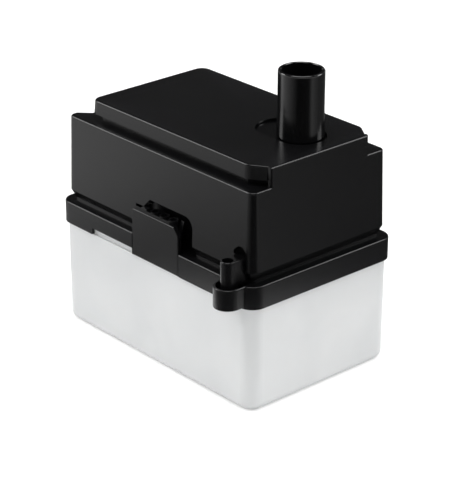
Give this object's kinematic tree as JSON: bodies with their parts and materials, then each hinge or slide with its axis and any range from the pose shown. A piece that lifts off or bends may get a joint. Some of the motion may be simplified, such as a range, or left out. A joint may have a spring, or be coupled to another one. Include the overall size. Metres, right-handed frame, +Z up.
{
  "type": "condensate pump",
  "caption": "Tank-type condensate pump: pale water tank under a dark motor cover with rocker clips, an upright inlet spigot, a float and an impeller pump inside.",
  "frame": {"origin": "centre of the tank's underside, on the surface it stands on", "axes": "+Z up along the inlet spigot; +X towards the end with the inlet spigot; -Y is the long side with the front clip"},
  "size_m": [0.1602, 0.122, 0.1614],
  "materials": {
    "tank_polypropylene": "translucent natural polypropylene",
    "black_abs": "satin moulded",
    "black_abs_spigot": "semi-gloss moulded",
    "black_abs_clip": "satin moulded",
    "seal_rubber": "matt",
    "ball_rubber": "matt",
    "zinc_screw": "zinc plated",
    "zinc_plate": "zinc plated pressing",
    "stainless_screw": "stainless",
    "laminated_steel": "stacked laminations",
    "copper": "bare copper",
    "bobbin_nylon": "natural glass-filled nylon",
    "winding_tape": "yellow polyester tape",
    "bronze": "sintered",
    "pump_plastic": "moulded",
    "impeller_plastic": "moulded",
    "fan_nylon": "moulded",
    "ground_steel": "ground",
    "cast_aluminium": "die cast",
    "float_foam": "closed-cell foam",
    "ferrite": "ferrite",
    "board_laminate": "green solder mask",
    "relay_case": "moulded",
    "capacitor_case": "moulded",
    "terminal_nylon": "moulded",
    "gland_nylon": "moulded"
  },
  "bodies": {
    "pump_unit": {"tank": "tank_polypropylene", "chassis": "black_abs", "drain_chimney": "black_abs", "motor_cover": "black_abs", "top_lid": "black_abs", "inlet_adaptor": "black_abs_spigot", "inlet_seal": "seal_rubber", "cover_screws": "zinc_screw", "stator_stack": "laminated_steel", "shading_rings": "copper", "coil_bobbin": "bobbin_nylon", "coil_winding": "winding_tape", "upper_bracket": "zinc_plate", "lower_bracket": "zinc_plate", "upper_bush": "bronze", "lower_bush": "bronze", "motor_screws": "zinc_screw", "pump_column": "pump_plastic", "volute_housing": "pump_plastic", "strainer_base": "pump_plastic", "pump_screws": "stainless_screw", "riser_pipe": "pump_plastic", "check_valve_body": "pump_plastic", "discharge_elbow": "black_abs_spigot", "float_stem": "pump_plastic", "float_stop_ring": "stainless_screw", "control_board": "board_laminate", "relay": "relay_case", "film_capacitor": "capacitor_case", "terminal_block": "terminal_nylon", "cable_gland": "gland_nylon", "gland_nut": "gland_nylon"},
    "rotor": {"rotor_core": "laminated_steel", "rotor_end_rings": "cast_aluminium", "motor_shaft": "ground_steel", "shaft_slinger": "seal_rubber", "cooling_fan": "fan_nylon", "impeller": "impeller_plastic"},
    "float": {"level_float": "float_foam", "float_magnet": "ferrite"},
    "check_ball": {"check_ball": "ball_rubber"},
    "front_clip": {"front_clip": "black_abs_clip"},
    "rear_clip": {"rear_clip": "black_abs_clip"}
  },
  "joints": [
    {"name": "rotor_spin", "type": "hinge", "parent": "pump_unit", "child": "rotor", "pos_m": [-0.004, 0, 0.095], "axis": [0, 0, 1], "continuous": true},
    {"name": "float_lift", "type": "slide", "parent": "pump_unit", "child": "float", "axis": [0, 0, 1], "range_m": [0, 0.024]},
    {"name": "check_ball_lift", "type": "slide", "parent": "pump_unit", "child": "check_ball", "axis": [0, 0, 1], "range_m": [0, 0.0035]},
    {"name": "front_clip_rock", "type": "hinge", "parent": "pump_unit", "child": "front_clip", "pos_m": [0.0033, -0.0474, 0.066], "axis": [-1, 0, 0], "range_deg": [0, 6], "stiffness_Nm_per_rad": 0.6},
    {"name": "rear_clip_rock", "type": "hinge", "parent": "pump_unit", "child": "rear_clip", "pos_m": [-0.0033, 0.0474, 0.066], "axis": [1, 0, 0], "range_deg": [0, 6], "stiffness_Nm_per_rad": 0.6}
  ]
}
